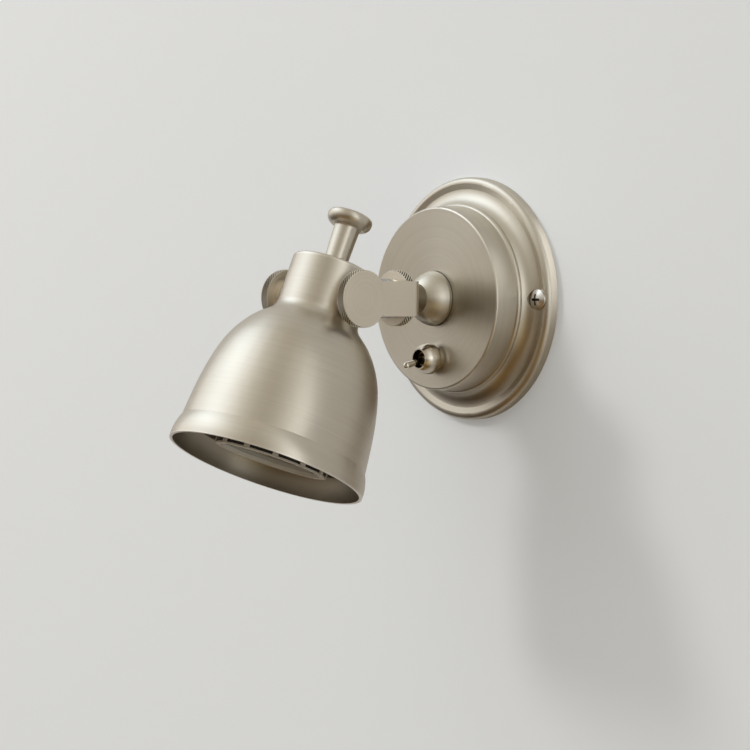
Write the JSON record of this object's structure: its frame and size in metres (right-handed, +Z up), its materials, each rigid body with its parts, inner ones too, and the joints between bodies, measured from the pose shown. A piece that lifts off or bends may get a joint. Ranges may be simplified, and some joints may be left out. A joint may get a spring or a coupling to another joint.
{
  "type": "wall reading lamp",
  "caption": "Small satin-nickel wall reading lamp with round wall plate, stem, U yoke with knurled clamp knobs, bell shade with grip, toggle switch and twist-in spot lamp.",
  "frame": {"origin": "centre of the back of the wall plate, on the wall", "axes": "+Y into the wall, so the lamp stands out towards -Y; +Z up; +X to the right when facing the wall"},
  "size_m": [0.1, 0.145, 0.1318],
  "materials": {
    "satin_nickel": "satin",
    "bright_nickel": "polished",
    "zinc_steel": "satin",
    "brass_fitting": "satin",
    "white_block": "matte",
    "steatite": "satin",
    "lamp_shell": "satin",
    "lamp_bezel": "gloss",
    "cover_glass": "frosted",
    "led_phosphor": "satin",
    "board": "satin",
    "black_rubber": "matte",
    "black_plastic": "matte"
  },
  "bodies": {
    "base": {"wall_strap": "zinc_steel", "canopy": "satin_nickel", "canopy_screws": "bright_nickel", "earth_screw": "brass_fitting", "terminal_block": "white_block", "terminal_sleeves": "brass_fitting", "terminal_screws": "bright_nickel", "threaded_stem": "satin_nickel", "stem_lock_washer": "zinc_steel", "stem_lock_nut": "zinc_steel", "stem_boss": "satin_nickel", "stem_collar": "satin_nickel", "swivel_washer": "zinc_steel", "stop_washer": "zinc_steel", "stem_front_nut": "zinc_steel", "stem_bush": "black_plastic", "switch_body": "black_plastic", "switch_terminals": "brass_fitting", "switch_bush": "bright_nickel", "switch_nut": "bright_nickel", "switch_collar": "satin_nickel"},
    "rear_knob": {"rear_knob": "satin_nickel"},
    "yoke": {"yoke": "satin_nickel", "pivot_washers": "black_plastic"},
    "head": {"shade": "satin_nickel", "lead_grommet": "black_rubber", "handle": "satin_nickel", "handle_nuts": "zinc_steel", "pivot_bosses": "satin_nickel", "lamp_holder": "steatite", "holder_screws": "zinc_steel", "holder_bracket": "zinc_steel", "holder_contacts": "brass_fitting"},
    "side_knob_right": {"side_knob_right": "satin_nickel"},
    "side_knob_left": {"side_knob_left": "satin_nickel"},
    "toggle": {"toggle_lever": "bright_nickel"},
    "lamp": {"lamp_body": "lamp_shell", "lamp_pins": "brass_fitting", "driver_board": "board", "led_board": "board", "led_chips": "led_phosphor", "lamp_lens": "cover_glass", "lamp_collar": "black_plastic", "lamp_ring": "lamp_bezel"}
  },
  "joints": [
    {"name": "yoke_swivel", "type": "hinge", "parent": "base", "child": "yoke", "pos_m": [0, -0.0482, 0], "axis": [0, 1, 0], "range_deg": [-165, 165]},
    {"name": "rear_knob_turn", "type": "hinge", "parent": "base", "child": "rear_knob", "pos_m": [0, -0.0435, 0], "axis": [0, 1, 0], "range_deg": [0, 180]},
    {"name": "head_tilt", "type": "hinge", "parent": "yoke", "child": "head", "pos_m": [0, -0.0803, 0], "axis": [1, 0, 0], "range_deg": [-30, 33]},
    {"name": "side_knob_right_turn", "type": "hinge", "parent": "yoke", "child": "side_knob_right", "pos_m": [0, -0.0803, 0], "axis": [1, 0, 0], "range_deg": [0, 180]},
    {"name": "side_knob_left_turn", "type": "hinge", "parent": "yoke", "child": "side_knob_left", "pos_m": [0, -0.0803, 0], "axis": [-1, 0, 0], "range_deg": [0, 180]},
    {"name": "toggle_throw", "type": "hinge", "parent": "base", "child": "toggle", "pos_m": [0, -0.0262, -0.0246], "axis": [-1, 0, 0], "range_deg": [0, 29]},
    {"name": "lamp_twist", "type": "hinge", "parent": "head", "child": "lamp", "pos_m": [-0.0002, -0.08449, -0.01257], "axis": [-0.0731, -0.3417, -0.937], "range_deg": [0, 20]}
  ]
}
